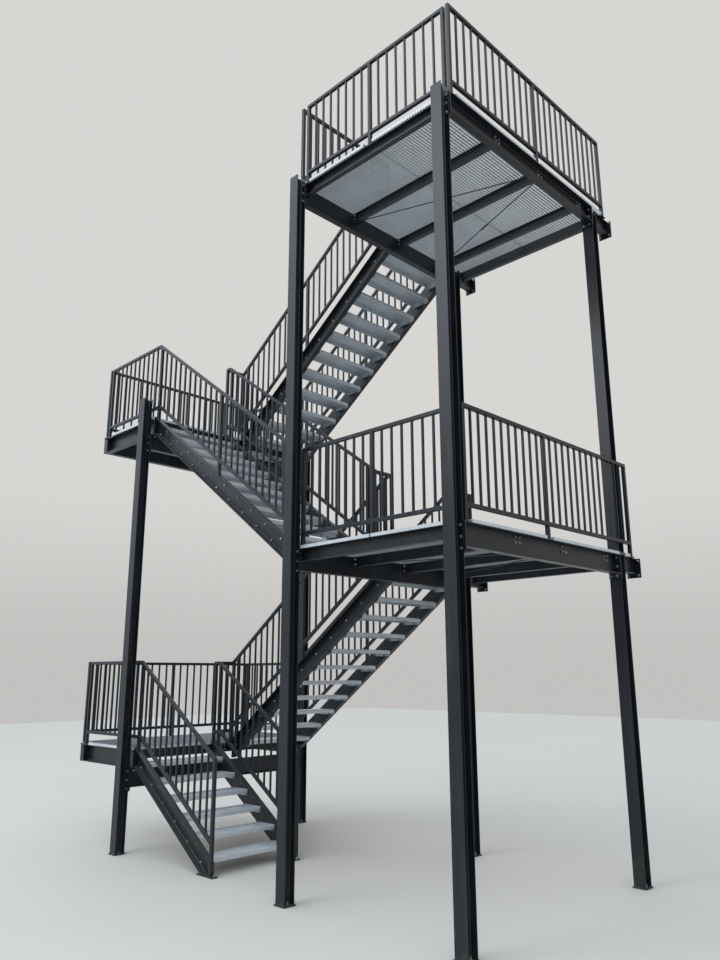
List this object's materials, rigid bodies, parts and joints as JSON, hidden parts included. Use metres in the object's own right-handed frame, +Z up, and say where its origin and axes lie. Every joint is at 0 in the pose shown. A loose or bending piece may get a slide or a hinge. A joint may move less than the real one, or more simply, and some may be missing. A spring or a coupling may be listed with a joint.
{
  "type": "fire escape stair",
  "caption": "Outdoor steel escape stair in straight flights between half landings and door platforms, on rolled columns, with open gratings, folded treads and bar railings.",
  "frame": {"origin": "on the ground under the middle of the front right column, at the middle of its foot plate", "axes": "+Z up, +X along the wall to the right, +Y towards the wall"},
  "size_m": [6.115, 3.135, 8.068],
  "materials": {
    "column_paint": "anthracite powder coat, satin",
    "beam_paint": "anthracite powder coat, satin",
    "rail_paint": "anthracite powder coat, satin",
    "grating_zinc": "hot dip galvanised",
    "tread_zinc": "hot dip galvanised"
  },
  "bodies": {
    "root": {"column_landing_front": "column_paint", "column_mid_front": "column_paint", "column_door_front": "column_paint", "column_door_back": "column_paint", "column_mid_back": "column_paint", "column_landing_back": "column_paint", "door_low_main_beams": "beam_paint", "door_low_cross_beams": "beam_paint", "door_low_grating": "grating_zinc", "door_low_front_rail": "rail_paint", "door_low_side_rail": "rail_paint", "door_high_main_beams": "beam_paint", "door_high_cross_beams": "beam_paint", "door_high_grating": "grating_zinc", "door_high_front_rail": "rail_paint", "door_high_side_rail": "rail_paint", "door_high_left_rail": "rail_paint", "door_high_bracing": "beam_paint", "landing_low_main_beams": "beam_paint", "landing_low_cross_beams": "beam_paint", "landing_low_grating": "grating_zinc", "landing_low_front_rail": "rail_paint", "landing_low_end_rail": "rail_paint", "landing_low_back_rail": "rail_paint", "landing_high_main_beams": "beam_paint", "landing_high_cross_beams": "beam_paint", "landing_high_grating": "grating_zinc", "landing_high_front_rail": "rail_paint", "landing_high_end_rail": "rail_paint", "landing_high_back_rail": "rail_paint", "wall_brackets": "beam_paint", "flight_1_stringers": "beam_paint", "flight_1_treads": "tread_zinc", "flight_1_outer_rail": "rail_paint", "flight_1_inner_rail": "rail_paint", "flight_2_stringers": "beam_paint", "flight_2_treads": "tread_zinc", "flight_2_outer_rail": "rail_paint", "flight_2_inner_rail": "rail_paint", "flight_3_stringers": "beam_paint", "flight_3_treads": "tread_zinc", "flight_3_outer_rail": "rail_paint", "flight_3_inner_rail": "rail_paint", "flight_4_stringers": "beam_paint", "flight_4_treads": "tread_zinc", "flight_4_outer_rail": "rail_paint", "flight_4_inner_rail": "rail_paint"}
  },
  "joints": []
}
